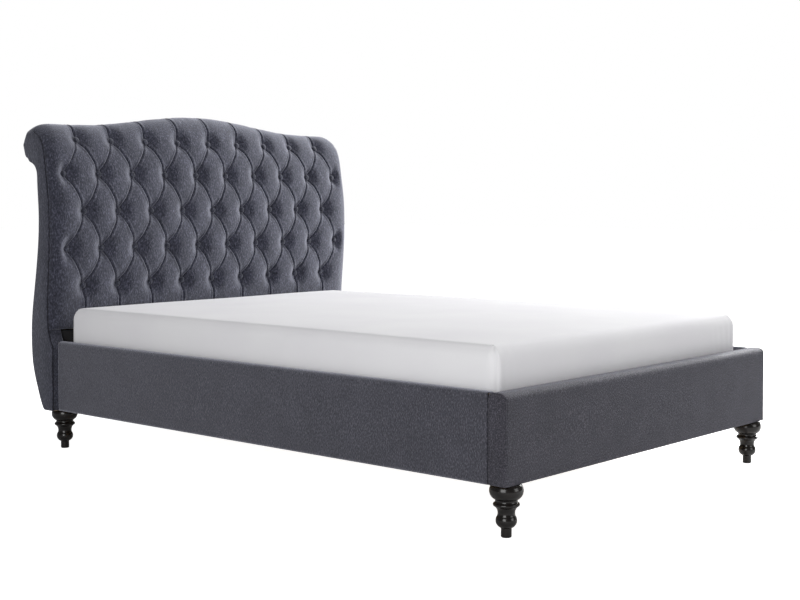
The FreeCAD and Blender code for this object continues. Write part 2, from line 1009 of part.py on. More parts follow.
bolts = []
for end_name, end in (("foot", -1), ("head", 1)):
    wall_y = rail_start if end < 0 else head_face
    for name, side in sides:
        label = "corner_bracket_%s_%s" % (end_name, name)
        body = new_body(label)
        side_a = -side * at.bracket_side
        side_t = -side * at.plate_thickness
        end_a = -end * at.bracket_side
        end_t = -end * at.plate_thickness
        sketch = outline(
            body,
            "XY_Plane",
            (0, 0),
            [(side_a, 0), (side_a, end_t), (side_t, end_t), (side_t, end_a), (0, end_a), (0, 0)],
        )
        pad = body.newObject("PartDesign::Pad", label + "_pad")
        pad.Profile = sketch
        bind(pad, Length=at.bracket_height)
        doc.recompute()
        for role, along in (("YZ_Plane", -end * bolt_along), ("XZ_Plane", -side * bolt_along)):
            holes = body.newObject("Sketcher::SketchObject", label + "_holes")
            holes.AttachmentSupport = [(origin_plane(body, role), "")]
            holes.MapMode = "FlatFace"
            for height in bolt_levels:
                circle = Part.Circle(flat((along, height)), Vector(0, 0, 1), float(hole))
                index = holes.addGeometry(circle, False)
                pin(holes, index, 3, (along, height))
                radius = Sketcher.Constraint("Radius", index, float(hole))
                number = holes.addConstraint(radius)
                holes.setExpression("Constraints[%d]" % number, hole.text)
            pocket = body.newObject("PartDesign::Pocket", label + "_pocket")
            pocket.Profile = holes
            pocket.SideType = "Symmetric"
            bind(pocket, Length=4 * at.plate_thickness)
        place(body, side * inner_width / 2, wall_y, bracket_bottom)
        keep(label, body)
        for height in bolt_levels:
            bolts.append(
                placed(
                    bolt,
                    side * inner_width / 2 + side_t,
                    wall_y - end * bolt_along,
                    bracket_bottom + height,
                    Vector(side, 0, 0),
                )
            )
            bolts.append(
                placed(
                    bolt,
                    side * inner_width / 2 - side * bolt_along,
                    wall_y + end_t,
                    bracket_bottom + height,
                    Vector(0, end, 0),
                )
            )
solid_group("bracket_bolts", bolts)


# ---- wood screws: through each ledger into its rail, and down through each slat's ends
def wood_screw(length):
    radius = float(at.screw_radius)
    shank = Part.makeCylinder(radius, length)
    head = Part.makeCone(2 * radius, radius, radius)
    return shank.fuse(head).removeSplitter()


screw_count = 7
ledger_screw = wood_screw(float(at.ledger_side) + float(at.rail_cover) + 12)
ledger_screws = [
    placed(
        ledger_screw,
        side * (inner_width / 2 - at.ledger_side),
        rail_start + rail_length * (number + 0.5) / screw_count,
        ledger_bottom + at.ledger_side / 2,
        Vector(side, 0, 0),
    )
    for name, side in sides
    for number in range(screw_count)
]
solid_group("ledger_screws", ledger_screws)

slat_screw = wood_screw(float(at.slat_thickness) + 16)
slat_screws = [
    placed(
        slat_screw,
        side * (inner_width / 2 - at.ledger_side / 2),
        rail_start + slat_step * (number + 0.5),
        slat_top - 0.5,
        Vector(0, 0, -1),
    )
    for name, side in sides
    for number in range(slat_count)
]
solid_group("slat_screws", slat_screws)

# ---- every feature is computed and every piece is a sound solid before any file is written
doc.recompute()
for feature in doc.Objects:
    if "Invalid" in feature.State or "Error" in feature.State:
        raise RuntimeError("%s failed: %s" % (feature.Label, feature.State))
for label, piece in nodes.items():
    if piece.Shape.isNull() or not piece.Shape.isValid() or not piece.Shape.Solids:
        raise RuntimeError("%s is not a sound solid" % label)
os.makedirs("parts", exist_ok=True)
for label, piece in nodes.items():
    piece.Shape.exportStep("parts/%s.step" % label)
full_width = 2 * (pad_half + float(at.side_cover))
print("%d nodes, bed length %.1f, width %.1f" % (len(nodes), bed_length.number, full_width))
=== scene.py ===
import json
import math
import bmesh
import bpy
import numpy as np
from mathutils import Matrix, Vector


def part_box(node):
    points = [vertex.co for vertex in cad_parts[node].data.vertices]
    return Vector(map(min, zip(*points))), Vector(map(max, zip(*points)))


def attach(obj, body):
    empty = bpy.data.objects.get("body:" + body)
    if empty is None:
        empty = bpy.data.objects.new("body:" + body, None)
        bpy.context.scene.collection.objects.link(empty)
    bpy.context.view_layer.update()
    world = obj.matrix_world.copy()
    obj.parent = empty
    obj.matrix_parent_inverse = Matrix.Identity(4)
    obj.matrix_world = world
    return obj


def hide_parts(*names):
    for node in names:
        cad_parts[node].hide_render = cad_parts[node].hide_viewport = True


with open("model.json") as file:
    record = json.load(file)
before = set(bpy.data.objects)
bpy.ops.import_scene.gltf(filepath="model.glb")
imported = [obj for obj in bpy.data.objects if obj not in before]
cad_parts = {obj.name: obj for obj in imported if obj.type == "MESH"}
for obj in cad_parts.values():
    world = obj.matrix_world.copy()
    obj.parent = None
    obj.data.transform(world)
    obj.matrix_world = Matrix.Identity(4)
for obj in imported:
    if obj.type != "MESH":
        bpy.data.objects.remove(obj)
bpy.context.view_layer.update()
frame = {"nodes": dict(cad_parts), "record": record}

nodes = frame["nodes"]
scene = bpy.context.scene
scene.view_settings.view_transform = "Standard"
scene.view_settings.look = "None"


# small helpers that every piece uses

def newPiece(name, bm, material, body="frame"):
    bmesh.ops.recalc_face_normals(bm, faces=bm.faces)
    mesh = bpy.data.meshes.new(name)
    bm.to_mesh(mesh)
    bm.free()
    mesh.polygons.foreach_set("use_smooth", [True] * len(mesh.polygons))
    mesh.materials.append(material)
    piece = bpy.data.objects.new(name, mesh)
    scene.collection.objects.link(piece)
    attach(piece, body)
    return piece


def thicken(piece, thickness):
    modifier = piece.modifiers.new("solidify", "SOLIDIFY")
    modifier.thickness = thickness
    modifier.offset = 0


def runOf(path):
    # the distance along a path of points, at each point
    return np.concatenate([[0], np.cumsum(np.hypot(*np.diff(path, axis=0).T))])


def turnOf(path, run):
    # the unit direction of the path at each point
    turn = np.gradient(path, run, axis=0)
    return turn / np.linalg.norm(turn, axis=1)[:, None]


def pairAt(s, run, pairs):
    return (np.interp(s, run, pairs[:, i]) for i in (0, 1))


def cutAcross(bm, geom, axis, level, side=1, **more):
    place, normal = [0, 0, 0], [0, 0, 0]
    place[axis], normal[axis] = level, side
    return bmesh.ops.bisect_plane(bm, geom=geom, dist=1e-6, plane_co=place, plane_no=normal, **more)


def allOf(bm):
    return bm.verts[:] + bm.edges[:] + bm.faces[:]


def moveVerts(bm, move):
    # sends every vertex through one function of the arrays x, y and z
    co = np.array([v.co for v in bm.verts])
    moved = np.stack(move(*co.T), axis=1)
    for vert, place in zip(bm.verts, moved):
        vert.co = place


def easeStep(value):
    value = np.clip(value, 0, 1)
    return value * value * (3 - 2 * value)


def gauss(value):
    return np.exp(-value * value)


def smoothNoise(x, y, z, seed=0.0):
    # gentle unevenness from -1 to 1, as a few crossed waves
    total = np.zeros_like(x)
    for k, (a, b, c) in enumerate(((1.0, 0.37, 0.61), (-0.53, 1.13, 0.29), (0.71, -0.83, 0.97),
                                   (0.23, 0.59, -1.31), (-1.17, -0.41, 0.47))):
        total = total + np.sin(a * x + b * y + c * z + seed + 1.7 * k)
    return total / 5


# materials

def startMaterial(name):
    material = bpy.data.materials.new(name)
    material.use_nodes = True
    tree = material.node_tree
    return material, tree, tree.nodes["Principled BSDF"]


def noiseOn(tree, coords, scale, detail=2.0, stretch=(1, 1, 1), roughness=0.5):
    mapping = tree.nodes.new("ShaderNodeMapping")
    mapping.inputs["Scale"].default_value = stretch
    pattern = tree.nodes.new("ShaderNodeTexNoise")
    pattern.inputs["Scale"].default_value = scale
    pattern.inputs["Detail"].default_value = detail
    pattern.inputs["Roughness"].default_value = roughness
    tree.links.new(coords.outputs["Object"], mapping.inputs["Vector"])
    tree.links.new(mapping.outputs["Vector"], pattern.inputs["Vector"])
    return pattern.outputs["Fac"]


def rampOf(tree, factor, stops):
    ramp = tree.nodes.new("ShaderNodeValToRGB")
    elements = ramp.color_ramp.elements
    while len(elements) < len(stops):
        elements.new(0.5)
    for element, (place, colour) in zip(elements, stops):
        element.position = place
        element.color = (*colour, 1)
    tree.links.new(factor, ramp.inputs["Fac"])
    return ramp.outputs["Color"]


def multiplied(tree, first, second):
    mix = tree.nodes.new("ShaderNodeMix")
    mix.data_type = "RGBA"
    mix.blend_type = "MULTIPLY"
    mix.inputs["Factor"].default_value = 1.0
    tree.links.new(first, mix.inputs[6])  # the two colours and their product, by number
    tree.links.new(second, mix.inputs[7])
    return mix.outputs[2]


def bumpFrom(tree, shader, height, strength, distance):
    bump = tree.nodes.new("ShaderNodeBump")
    bump.inputs["Strength"].default_value = strength
    bump.inputs["Distance"].default_value = distance
    tree.links.new(height, bump.inputs["Height"])
    tree.links.new(bump.outputs["Normal"], shader.inputs["Normal"])


def spread(low, high):
    # two greys for a ramp, a little below and above the middle of a noise
    return [(0.3, (low,) * 3), (0.7, (high,) * 3)]


chenille = {
    "deep": (0.008, 0.009, 0.013), "pile": (0.033, 0.035, 0.048), "fleck": (0.118, 0.122, 0.155),
    "stops": (0.30, 0.52, 0.76), "fleckScale": 240, "threadScale": 800, "cloudScale": 12,
    "sheenRoughness": 0.52, "sheenTint": (0.86, 0.88, 1.0), "bump": 0.8, "pileDepth": 0.0016,
}


def chenilleMaterial(name, tint, flecks=(1, 1, 0.45), sheen=0.62, gloss=(0.92, 0.15)):
    look = chenille
    material, tree, shader = startMaterial(name)
    coords = tree.nodes.new("ShaderNodeTexCoord")
    fleck = noiseOn(tree, coords, look["fleckScale"], 2.5, flecks, 0.6)
    thread = noiseOn(tree, coords, look["threadScale"], 1.0)
    cloud = noiseOn(tree, coords, look["cloudScale"], 3.0)
    # the tint scales the velvet's three greys; in the rail, footboard and button copies it also carries
    # painted light and shade
    shades = [tuple(c * t for c, t in zip(look[k], tint)) for k in ("deep", "pile", "fleck")]
    base = rampOf(tree, fleck, list(zip(look["stops"], shades)))
    fine = rampOf(tree, thread, spread(0.80, 1.18))
    base = multiplied(tree, base, fine)
    patches = rampOf(tree, cloud, [(0.35, (0.88,) * 3), (0.65, (1.10,) * 3)])
    base = multiplied(tree, base, patches)
    tree.links.new(base, shader.inputs["Base Color"])
    shader.inputs["Roughness"].default_value = gloss[0]
    shader.inputs["Specular IOR Level"].default_value = gloss[1]
    shader.inputs["Sheen Weight"].default_value = sheen
    shader.inputs["Sheen Roughness"].default_value = look["sheenRoughness"]
    shader.inputs["Sheen Tint"].default_value = (*look["sheenTint"], 1)
    bumpFrom(tree, shader, fleck, look["bump"], look["pileDepth"])
    return material


def sheetingMaterial():
    material, tree, shader = startMaterial("mattressSheeting")
    coords = tree.nodes.new("ShaderNodeTexCoord")
    weave = noiseOn(tree, coords, 700, 1.0)
    cloud = noiseOn(tree, coords, 3.5, 2.0)
    tone = rampOf(tree, cloud, [(0.3, (0.83, 0.822, 0.85)), (0.7, (0.87, 0.868, 0.885))])
    tree.links.new(tone, shader.inputs["Base Color"])
    shader.inputs["Roughness"].default_value = 0.85
    shader.inputs["Specular IOR Level"].default_value = 0.2
    shader.inputs["Sheen Weight"].default_value = 0.1
    bumpFrom(tree, shader, weave, 0.12, 0.0004)
    return material


def woodMaterial(name, pale, dark, grain, roughness=0.6):
    material, tree, shader = startMaterial(name)
    coords = tree.nodes.new("ShaderNodeTexCoord")
    rings = noiseOn(tree, coords, 9, 4.0, grain, 0.6)
    pores = noiseOn(tree, coords, 90, 2.0, grain, 0.6)
    between = tuple(0.6 * p + 0.4 * d for p, d in zip(pale, dark))
    base = rampOf(tree, rings, [(0.3, pale), (0.5, between), (0.72, dark)])
    fine = rampOf(tree, pores, spread(0.86, 1.06))
    tree.links.new(multiplied(tree, base, fine), shader.inputs["Base Color"])
    shader.inputs["Roughness"].default_value = roughness
    bumpFrom(tree, shader, pores, 0.2, 0.0005)
    return material


def lacquerMaterial():
    material, tree, shader = startMaterial("blackLacquer")
    coords = tree.nodes.new("ShaderNodeTexCoord")
    ripple = noiseOn(tree, coords, 60, 2.0)
    tone = rampOf(tree, ripple, [(0.3, (0.004, 0.003, 0.0025)), (0.7, (0.009, 0.0065, 0.0055))])
    tree.links.new(tone, shader.inputs["Base Color"])
    shader.inputs["Roughness"].default_value = 0.24
    shader.inputs["Specular IOR Level"].default_value = 0.3
    shader.inputs["Coat Weight"].default_value = 0.35
    shader.inputs["Coat Roughness"].default_value = 0.07
    bumpFrom(tree, shader, ripple, 0.06, 0.0006)
    return material


def plainMaterial(name, colour, roughness, metallic=1.0):
    # lightly scuffed metal, paint, plastic or thin cloth; also the near-black seam cords, whose colour is
    # painted shade
    material, tree, shader = startMaterial(name)
    coords = tree.nodes.new("ShaderNodeTexCoord")
    scuffs = noiseOn(tree, coords, 140, 3.0)
    tone = rampOf(tree, scuffs, [(0.3, tuple(c * 0.8 for c in colour)), (0.7, colour)])
    tree.links.new(tone, shader.inputs["Base Color"])
    gloss = rampOf(tree, scuffs, spread(roughness, roughness + 0.15))
    tree.links.new(gloss, shader.inputs["Roughness"])
    shader.inputs["Metallic"].default_value = metallic
    bumpFrom(tree, shader, scuffs, 0.1, 0.0003)
    return material


padFabric = chenilleMaterial("padChenille", (0.98, 0.96, 1.04))
# a brighter copy of the same velvet, for the rail sleeves and the other upholstered parts: its extra
# brightness is painted light
railFabricLit = chenilleMaterial("railChenilleLit", (1.24, 1.15, 1.10), (1.5, 1.5, 0.6), 0.92)
# a darker copy of the rails' velvet for the footboard sleeve and end panels: its darker tint is painted
# shade on the footboard's front
footFabricShaded = chenilleMaterial("footChenilleShaded", (1.20, 1.08, 1.05), (1.3, 1.3, 0.9), 0.24, (0.70, 0.30))
# a darker copy of the same velvet for the covered buttons: painted shade of the pits they sit in
buttonFabricShaded = chenilleMaterial("buttonChenilleShaded", (0.8, 0.8, 0.85), (1, 1, 0.45), 0.45)
# near-black cord colour: painted shade for the seam grooves and the gaps at the rails' foot ends
seamShadeCord = plainMaterial("seamShadeCord", (0.006, 0.006, 0.008), 0.9, 0.0)
sheeting = sheetingMaterial()
finishes = {
    "softwood": woodMaterial("planedSoftwood", (0.62, 0.44, 0.25), (0.42, 0.26, 0.12), (0.6, 8, 8)),
    "slat_birch": woodMaterial("birchSlats", (0.68, 0.53, 0.34), (0.52, 0.36, 0.20), (0.5, 9, 9)),
    "plywood": woodMaterial("birchPlywood", (0.60, 0.46, 0.29), (0.40, 0.27, 0.15), (1, 1, 12)),
    "dust_cloth": plainMaterial("dustCloth", (0.030, 0.030, 0.032), 0.85, 0.0),
    "black_plastic": plainMaterial("blackPlastic", (0.020, 0.020, 0.021), 0.42, 0.0),
    "black_steel": plainMaterial("blackSteel", (0.030, 0.030, 0.032), 0.38, 0.6),
    "zinc_steel": plainMaterial("zincSteel", (0.55, 0.56, 0.58), 0.32),
    "upholstery": railFabricLit, "mattress_cover": sheeting,
    "black_lacquer": lacquerMaterial(),
}
for entry in frame["record"]["subparts"]:
    node = nodes[entry["node"]]
    node.data.materials.clear()
    node.data.materials.append(finishes[entry["material_slot"]])
print("materials made:", len(finishes) + 1)


# outlines of the end panels, read from the frame

def endOutline(node):
    # the y and z of the panel's outer face, from its lower front corner up and round
    bm = bmesh.new()
    bm.from_mesh(nodes[node].data)
    bmesh.ops.remove_doubles(bm, verts=bm.verts, dist=1e-5)
    level = min(v.co.x for v in bm.verts)
    flat = {f for f in bm.faces if all(abs(v.co.x - level) < 1e-5 for v in f.verts)}
    rim = [e for e in bm.edges if sum(f in flat for f in e.link_faces) == 1]
    joined = {}
    for edge in rim:
        for a, b in (tuple(edge.verts), tuple(edge.verts)[::-1]):
            joined.setdefault(a, []).append(b)
    start = min(joined, key=lambda v: (round(v.co.z, 4), v.co.y))
    loop, last = [start], None
    while True:
        here = loop[-1]
        ahead = [v for v in joined[here] if v is not last]
        step = ahead[0] if last else max(ahead, key=lambda v: v.co.z)
        last = here
        if step is start:
            break
        loop.append(step)
    points = [(v.co.y, v.co.z) for v in loop]
    bm.free()
    return np.array(points)


outlinePoints = endOutline("headboard_side_cover_left")


# camera and light

view = {
    "place": (-3.573, -3.2079, 0.8985), "azimuth": -48.75, "lookDown": 2.179,
    "lens": 61.645, "filmWidth": 36, "shiftUp": -0.0625, "farthest": 60,
}


def setCamera():
    camera = bpy.data.objects.new("camera", bpy.data.cameras.new("camera"))
    scene.collection.objects.link(camera)
    turn, dip = math.radians(view["azimuth"]), math.radians(view["lookDown"])
    back = Vector((math.sin(turn) * math.cos(dip), -math.cos(turn) * math.cos(dip), math.sin(dip)))
    camera.location = view["place"]
    camera.rotation_mode = "QUATERNION"
    camera.rotation_quaternion = (-back).to_track_quat("-Z", "Y")
    camera.data.lens = view["lens"]
    camera.data.sensor_width = view["filmWidth"]
    camera.data.shift_y = view["shiftUp"]
    camera.data.clip_end = view["farthest"]
    scene.camera = camera


softboxes = {
    "sideKey": {"place": (4.5, -0.45, 1.9), "aim": (0, 0.6, 0.7), "size": 1.6, "watts": 300},
    "overhead": {"place": (0.3, -0.2, 3.6), "aim": (0, -0.1, 0.4), "size": 3.0, "watts": 34},
    "frontFill": {"place": (-4.6, -2.0, 1.4), "aim": (0, 0, 0.4), "size": 2.4, "watts": 92},
    "footFill": {"place": (0.9, -5.2, 1.5), "aim": (0, -1.0, 0.4), "size": 2.2, "watts": 44},
}
surroundings = {"seen": 1.0, "lit": 0.17}


def seenOrLit(tree, levels):
    # one strength where the camera looks straight at it, and another for the light it gives
    path = tree.nodes.new("ShaderNodeLightPath")
    level = tree.nodes.new("ShaderNodeMapRange")
    level.inputs["To Min"].default_value = levels["lit"]
    level.inputs["To Max"].default_value = levels["seen"]
    tree.links.new(path.outputs["Is Camera Ray"], level.inputs["Value"])
    return level.outputs["Result"]


def setLights():
    for name, box in softboxes.items():
        lamp = bpy.data.lights.new(name, "AREA")
        lamp.energy = box["watts"]
        lamp.size = box["size"]
        light = bpy.data.objects.new(name, lamp)
        scene.collection.objects.link(light)
        light.location = box["place"]
        away = Vector(box["place"]) - Vector(box["aim"])
        light.rotation_euler = away.to_track_quat("Z", "Y").to_euler()
    world = bpy.data.worlds.new("paleStudio")
    world.use_nodes = True
    scene.world = world
    tree = world.node_tree
    ground = tree.nodes["Background"]
    ground.inputs["Color"].default_value = (1, 1, 1, 1)
    tree.links.new(seenOrLit(tree, surroundings), ground.inputs["Strength"])


floor = {"size": 60.0, "seen": 0.92, "lit": 0.04}


def layFloor():
    bm = bmesh.new()
    bmesh.ops.create_grid(bm, x_segments=2, y_segments=2, size=floor["size"] / 2)
    mesh = bpy.data.meshes.new("studioFloor")
    bm.to_mesh(mesh)
    bm.free()
    ground = bpy.data.objects.new("studioFloor", mesh)
    scene.collection.objects.link(ground)
    material, tree, shader = startMaterial("palePaper")
    coords = tree.nodes.new("ShaderNodeTexCoord")
    tone = rampOf(tree, noiseOn(tree, coords, 1.5), spread(0.88, 0.9))
    tree.links.new(tone, shader.inputs["Base Color"])
    shader.inputs["Roughness"].default_value = 0.9
    shader.inputs["Specular IOR Level"].default_value = 0.1
    shader.inputs["Emission Color"].default_value = (1, 1, 1, 1)
    tree.links.new(seenOrLit(tree, floor), shader.inputs["Emission Strength"])
    mesh.materials.append(material)


setCamera()
setLights()
layFloor()
print("camera, lights and floor placed")


# the tufted pad: a flat quilt of buttons and folds, wrapped over the curved headboard

pad = {
    "halfWidth": 0.752, "startHeight": 0.4286, "throat": (0.1105, 1.022), "underside": -0.008,
    "pitch": 0.1525, "rows": (0.583, 0.717, 0.851, 0.985, 1.109), "rowPitch": 0.1335,
    "foldLength": 0.1324, "outerPleat": 4,
    "cells": 12, "cellSteps": 32, "crowding": 0.78, "spareFrom": 0.78, "sideStart": 0.700,
    "sideSteps": 11, "underSteps": (24, 40), "edgeRound": 0.070,
    "crestAtHeight": ((0.4286, 0.022), (0.50, 0.027), (0.56, 0.031), (0.66, 0.034), (0.90, 0.034),
                      (1.02, 0.032), (1.10, 0.027), (1.13, 0.0255)),
    "rollCrest": 0.0255, "rollFade": 0.09,
    "seat": 0.006, "saddle": 0.80, "fullness": 2.9, "channelSaddle": 0.90, "hollow": 0.028,
    "crease": 0.0040, "creaseWidth": 0.0020, "lip": 0.0016, "lipWidth": 0.0036, "lipPlace": 0.0066,
    "climb": 0.085, "settle": 0.05, "borderFade": 0.024, "foldFade": 0.012, "lowShare": 0.25,
    "endFade": 0.05, "seamWidth": 0.003, "seamDip": 0.0035,
    "ruffle": 0.0007, "fineRuffle": 0.0003,
}
scroll = {"depth": 0.113, "height": 1.084, "radius": 0.057, "flats": 8, "firstCorner": 5.0,
          "drawIn": 0.0035, "reach": 0.028}
camelback = {"rise": 0.050, "halfSpan": 0.580, "from": 0.860, "over": 0.170}


def resampled(points, step, blur):
    # evenly spaced points along a path, with its corners rounded by the blur
    run = runOf(points)
    even = np.arange(0, run[-1], step)
    line = np.stack(tuple(pairAt(even, run, points)), axis=1)
    kernel = gauss(np.arange(-3 * blur, 3 * blur + step, step) / blur)
    kernel /= kernel.sum()
    half = len(kernel) // 2
    padded = np.concatenate([np.repeat(line[:1], half, 0), line, np.repeat(line[-1:], half, 0)])
    return np.stack([np.convolve(padded[:, i], kernel, "valid") for i in (0, 1)], axis=1)


# the outline every millimetre, and the part of it that the pad covers, from its start to the throat
headFace = outlinePoints[0][0]
ringLine = resampled(outlinePoints[:int(len(outlinePoints) * 0.98)], 0.001, 0.006)
ringStart = np.argmax(ringLine[:, 1] > pad["startHeight"])
toThroat = np.hypot(ringLine[:, 0] - headFace - pad["throat"][0], ringLine[:, 1] - pad["throat"][1])
ringEnd = np.argmin(toThroat)
padRing = ringLine[ringStart:ringEnd + 1]
ringRun = runOf(padRing)
ringTurn = turnOf(padRing, ringRun)
ringNormal = np.stack([-ringTurn[:, 1], ringTurn[:, 0]], axis=1)
padLength = ringRun[-1]


def lift(x, z):
    # how far the camelback raises a point near the middle of the headboard's top
    arch = np.where(np.abs(x) < camelback["halfSpan"],
                    np.cos(math.pi * x / (2 * camelback["halfSpan"])) ** 2, 0)
    return camelback["rise"] * arch * easeStep((z - camelback["from"]) / camelback["over"])


def gatherDepth(y, z):
    # how far the fabric is drawn in between the gathers round the scroll's end
    outY, outZ = y - headFace - scroll["depth"], z - scroll["height"]
    angle = np.degrees(np.arctan2(outZ, outY))
    part = 360 / scroll["flats"]
    swing = np.radians((angle - scroll["firstCorner"]) % part - part / 2)
    inward = scroll["drawIn"] + scroll["radius"] * (1 - math.cos(math.radians(part / 2)) / np.cos(swing))
    near = easeStep((scroll["radius"] * 1.35 - np.hypot(outY, outZ)) / (0.3 * scroll["radius"]))
    return inward * near * easeStep((angle + 75) / 20) * easeStep((165 - angle) / 30)


def ontoPad(x, s, h):
    # places a point that is x across, s along the curved outline and h proud of it
    ringY, ringZ = pairAt(s, ringRun, padRing)
    outY, outZ = pairAt(s, ringRun, ringNormal)
    h = h - gatherDepth(ringY, ringZ) * np.exp((np.abs(x) - pad["halfWidth"]) / scroll["reach"])
    return x, ringY + h * outY, ringZ + h * outZ + lift(x, ringZ)


# where each button row falls along the outline, every 5 mm across, on stuffing of middling height
acrossSamples = np.linspace(-0.76, 0.76, 305)
stuffed = 0.012
upperEnd = np.argmax(padRing[:, 1])
rowRuns = np.array([[np.interp(z, ontoPad(x, ringRun[:upperEnd], stuffed)[2], ringRun[:upperEnd])
                     for x in acrossSamples] for z in pad["rows"]])


def runAt(x, t):
    # t is -1 at the pad's lower edge, 0 to 4 at the button rows and 5 at the throat
    stops = [np.interp(x, acrossSamples, row) for row in rowRuns]
    stops = [np.zeros_like(x)] + stops + [np.full_like(x, padLength)]
    s = np.zeros_like(x)
    for i in range(6):
        share = np.clip(t + 1 - i, 0, 1)
        s = np.where((t + 1 >= i) & (t + 1 <= i + 1), stops[i] + share * (stops[i + 1] - stops[i]), s)
    return s


def crestAt(s):
    # how proud the stuffing stands, up the front and over the roll
    z = np.interp(s, ringRun, padRing[:, 1])
    front = np.interp(z, *zip(*pad["crestAtHeight"]))
    left = (padLength - s) / pad["rollFade"]
    return np.where(s < ringRun[upperEnd], front, pad["rollCrest"] * easeStep(left * 0.9 + 0.1))


def edgeFactor(x):
    inward = np.clip((pad["halfWidth"] - np.abs(x)) / pad["edgeRound"], 0, 1)
    return np.sqrt(1 - (1 - inward) ** 2)


def quiltHeight(x, t, s):
    # hollows at the buttons, folds on the diagonals between them, and pleats above and below
    pitch, full, saddle = pad["pitch"], pad["fullness"], pad["saddle"]
    outer = (pad["outerPleat"] + 0.5) * pitch
    inX = np.clip(x, -outer, outer)
    cross, along = inX / pitch, np.clip(t, 0, 4) / 2
    offU, offV = (q - np.round(q) for q in (along + cross, along - cross))
    near = [2 * np.abs(offU), 2 * np.abs(offV)]
    fromButton = np.hypot(np.abs(offU - offV) * pitch / 2, (offU + offV) * pad["rowPitch"])
    a, b = (1 - (1 - q) ** full for q in near)
    field = a * b + saddle * ((1 - a) * b + a * (1 - b))
    foldReach = pad["foldLength"] / 2
    creases = sum(gauss(q * foldReach / pad["creaseWidth"]) for q in near)
    lips = sum(gauss((q * foldReach - pad["lipPlace"]) / pad["lipWidth"]) for q in near)

    across = 2 * np.abs(cross - np.round(cross))
    lobe = 1 - (1 - across) ** full
    lowRun, highRun = (np.interp(x, acrossSamples, rowRuns[i]) for i in (0, 4))
    away = np.where(t < 0, lowRun - s, np.where(t > 4, s - highRun, 0))
    climb = 1 - (1 - np.clip(away / pad["climb"], 0, 1)) ** full
    atRow = lobe * (2 * saddle + (1 - 2 * saddle) * lobe)
    settle = easeStep(away / pad["settle"])
    channel = atRow * (1 - settle) + (lobe + pad["channelSaddle"] * climb * (1 - lobe)) * settle
    inChannel = (t < 0) | (t > 4)
    height = np.where(inChannel, channel, field)
    pleat = gauss(across * pitch / 2 / pad["creaseWidth"])
    pleatLip = gauss((across * pitch / 2 - pad["lipPlace"]) / pad["lipWidth"])
    creases = np.where(inChannel, pleat * (1 + (1 - settle)), creases)
    lips = np.where(inChannel, pleatLip, lips)

    acrossButton = np.abs(cross - np.round(cross)) * pitch
    fromButton = np.where(inChannel, np.hypot(acrossButton, away), fromButton)
    beyond = np.clip(np.abs(x) - outer, 0, 1)
    height = height * (1 - gauss(np.hypot(fromButton, beyond) / pad["hollow"]))
    height = 1 - (1 - height) * gauss(beyond / pad["borderFade"])
    foldsHere = gauss(beyond / pad["foldFade"])
    edge = edgeFactor(x)
    ease = np.clip(height / pad["lowShare"], 0, 1)
    ending = easeStep((padLength - s) / pad["endFade"])
    h = edge * (pad["seat"] + (crestAt(s) - pad["seat"]) * height)
    h = h * np.where(s > ringRun[upperEnd], ending, 1)
    h = h + foldsHere * edge * ease * ending * (pad["lip"] * lips - pad["crease"] * creases)
    h = h - pad["seamDip"] * gauss((pad["halfWidth"] - np.abs(x)) / pad["seamWidth"]) * ending
    ruffle = smoothNoise(x * 55, s * 48, 0 * x) * pad["ruffle"]
    ruffle = ruffle + smoothNoise(x * 140, s * 120, 0 * x, 2.0) * pad["fineRuffle"]
    return h + ruffle * edge * np.clip(height, 0, 1) * ending


def extrudeRim(bm, level, axis, stops):
    # pulls the open edge that lies at one level of an axis out to each stop in turn
    for stop in stops:
        rim = [e for e in bm.edges
               if e.is_boundary and all(abs(v.co[axis] - level) < 1e-6 for v in e.verts)]
        grown = bmesh.ops.extrude_edge_only(bm, edges=rim)["geom"]
        for vert in (g for g in grown if isinstance(g, bmesh.types.BMVert)):
            vert.co[axis] = stop
        level = stop


